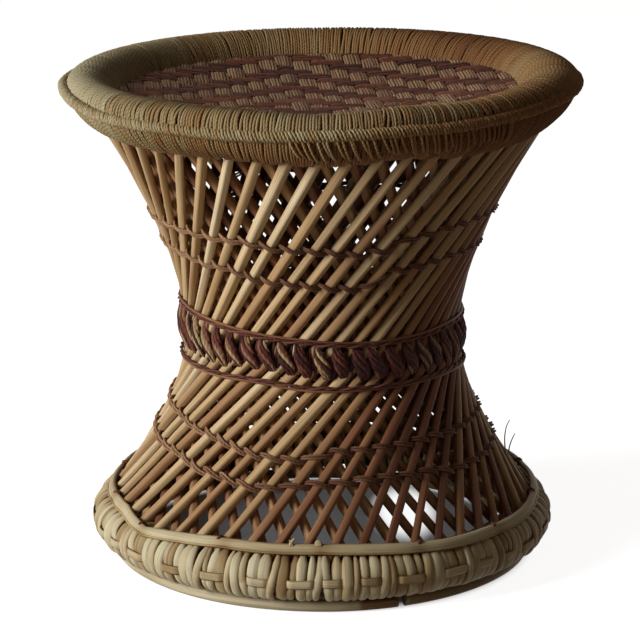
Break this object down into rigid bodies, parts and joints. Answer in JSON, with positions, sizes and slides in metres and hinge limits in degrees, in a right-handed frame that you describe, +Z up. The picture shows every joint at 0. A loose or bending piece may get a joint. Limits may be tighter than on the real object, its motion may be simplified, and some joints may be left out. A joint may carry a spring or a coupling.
{
  "type": "mudda stool",
  "caption": "Low hourglass stool of crossed canes with a wound base ring, a plaited waist band, a corded rim and a woven seat.",
  "frame": {"origin": "on the floor, on the stool's own axis, at the bottom of its bounding box", "axes": "+Z up along the axis, the front as pictured faces -Y, +X to its right"},
  "size_m": [0.401, 0.401, 0.383],
  "materials": {
    "foot_cane": "worn reddish round cane",
    "grass_roll": "dry grass, loosely packed",
    "split_cane": "pale split cane with a dull natural skin",
    "canes": "dry cane with a satin skin, tan to reddish brown",
    "inner_canes": "dry cane with a satin skin",
    "twined_cord": "twisted brown grass cord",
    "hoop_cord": "split cane and dark cord laid together",
    "dark_yarn": "thick dark maroon yarn in plaited bundles",
    "rim_cord": "wound grass cord, olive to orange brown",
    "seat_weave": "twill woven from dark red and tan cord"
  },
  "bodies": {
    "root": {"foot_hoop": "foot_cane", "base_core": "grass_roll", "base_wrap": "split_cane", "base_top_hoop": "split_cane", "outer_cane_01": "canes", "outer_cane_02": "canes", "outer_cane_03": "canes", "outer_cane_04": "canes", "outer_cane_05": "canes", "outer_cane_06": "canes", "outer_cane_07": "canes", "outer_cane_08": "canes", "outer_cane_09": "canes", "outer_cane_10": "canes", "outer_cane_11": "canes", "outer_cane_12": "canes", "outer_cane_13": "canes", "outer_cane_14": "canes", "outer_cane_15": "canes", "outer_cane_16": "canes", "outer_cane_17": "canes", "outer_cane_18": "canes", "outer_cane_19": "canes", "outer_cane_20": "canes", "outer_cane_21": "canes", "outer_cane_22": "canes", "outer_cane_23": "canes", "outer_cane_24": "canes", "outer_cane_25": "canes", "outer_cane_26": "canes", "outer_cane_27": "canes", "outer_cane_28": "canes", "outer_cane_29": "canes", "outer_cane_30": "canes", "outer_cane_31": "canes", "outer_cane_32": "canes", "outer_cane_33": "canes", "outer_cane_34": "canes", "outer_cane_35": "canes", "outer_cane_36": "canes", "outer_cane_37": "canes", "outer_cane_38": "canes", "outer_cane_39": "canes", "outer_cane_40": "canes", "outer_cane_41": "canes", "outer_cane_42": "canes", "outer_cane_43": "canes", "outer_cane_44": "canes", "outer_cane_45": "canes", "outer_cane_46": "canes", "outer_cane_47": "canes", "outer_cane_48": "canes", "inner_canes": "inner_canes", "lower_twining": "twined_cord", "upper_twining": "twined_cord", "waist_hoops": "hoop_cord", "waist_braid": "dark_yarn", "rim_core": "grass_roll", "rim_cord_wrap": "rim_cord", "woven_seat": "seat_weave"}
  },
  "joints": []
}
